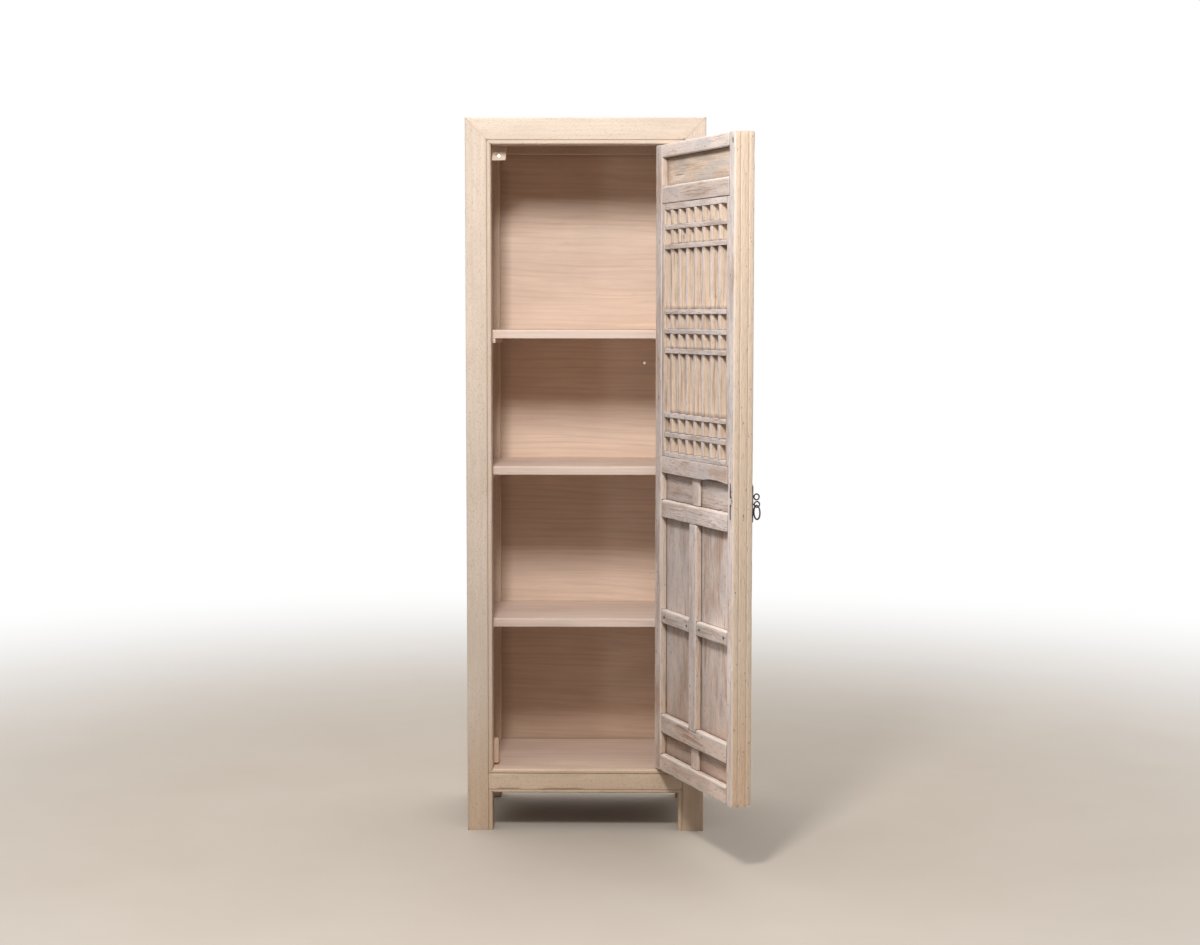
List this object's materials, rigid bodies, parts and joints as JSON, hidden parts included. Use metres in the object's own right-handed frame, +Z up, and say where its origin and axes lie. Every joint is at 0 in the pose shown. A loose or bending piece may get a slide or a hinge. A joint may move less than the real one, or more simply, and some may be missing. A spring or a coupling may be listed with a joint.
{
  "type": "lattice door cabinet",
  "caption": "Tall narrow wooden cabinet with shelves: a new light frame built round an old lattice door leaf with an iron ring pull.",
  "frame": {"origin": "on the floor, in the middle of the front left post's sole; the carcass's own middle is 268 mm to the right of it and 174.25 mm behind it", "axes": "+X to the cabinet's right seen from the front, +Y towards its back, +Z up; the door stands open in front of it, on the right"},
  "size_m": [0.7154, 0.8212, 1.8],
  "materials": {
    "new_wood": "limed, open grain, satin",
    "shelf_wood": "oiled, satin",
    "back_wood": "oiled, satin",
    "old_door_wood": "weathered, worn pigment, matte",
    "old_panel_wood": "weathered, worn pigment, matte",
    "batten_wood": "weathered, matte",
    "old_iron": "dark forged iron, worn",
    "nail_iron": "rusty nail iron",
    "plain_steel": "plated, dull"
  },
  "bodies": {
    "carcass": {"front_left_post": "new_wood", "front_right_post": "new_wood", "rear_left_post": "new_wood", "rear_right_post": "new_wood", "front_top_rail": "new_wood", "front_low_rail": "new_wood", "rear_top_rail": "new_wood", "rear_low_rail": "new_wood", "left_top_rail": "new_wood", "left_low_rail": "new_wood", "right_top_rail": "new_wood", "right_low_rail": "new_wood", "door_stop_block": "new_wood", "door_stop_strip": "new_wood", "bottom_board": "shelf_wood", "upper_shelf": "shelf_wood", "middle_shelf": "shelf_wood", "lower_shelf": "shelf_wood", "upper_shelf_cleats": "shelf_wood", "middle_shelf_cleats": "shelf_wood", "lower_shelf_cleats": "shelf_wood", "left_side_panel": "back_wood", "right_side_panel": "back_wood", "back_panel": "back_wood", "top_panel": "back_wood", "catch_magnet": "plain_steel", "back_screw": "plain_steel"},
    "door_leaf": {"door_hinge_stile": "old_door_wood", "door_free_stile": "old_door_wood", "door_top_rail": "old_door_wood", "door_frieze_rail": "old_door_wood", "door_lattice_rail": "old_door_wood", "door_waist_rail": "old_door_wood", "door_lower_rail": "old_door_wood", "door_bottom_rail": "old_door_wood", "door_long_muntin": "old_door_wood", "door_small_muntin": "old_door_wood", "door_foot_muntin": "old_door_wood", "door_frieze_panel": "old_panel_wood", "door_small_panel_hinge_side": "old_panel_wood", "door_small_panel_free_side": "old_panel_wood", "door_tall_panel_hinge_side": "old_panel_wood", "door_tall_panel_free_side": "old_panel_wood", "door_foot_panel_hinge_side": "old_panel_wood", "door_foot_panel_free_side": "old_panel_wood", "door_batten_hinge_side": "batten_wood", "door_batten_free_side": "batten_wood", "lattice_side_hinge_side": "old_door_wood", "lattice_side_free_side": "old_door_wood", "lattice_head": "old_door_wood", "lattice_sill": "old_door_wood", "lattice_uprights": "old_door_wood", "lattice_crossbars": "old_door_wood", "batten_nails": "nail_iron", "catch_strike": "plain_steel", "pull_plate": "old_iron", "upper_cotter_pin": "old_iron", "lower_cotter_pin": "old_iron"},
    "ring_pull": {"pull_ring": "old_iron"}
  },
  "joints": [
    {"name": "door_hinge", "type": "hinge", "parent": "carcass", "child": "door_leaf", "pos_m": [0.486, -0.01475, 0.9465], "axis": [0, 0, 1], "range_deg": [-112, 4]},
    {"name": "ring_hinge", "type": "hinge", "parent": "door_leaf", "child": "ring_pull", "pos_m": [0.6752, -0.40963, 0.86905], "axis": [0.3746, -0.9272, 0], "range_deg": [-20, 165]}
  ]
}
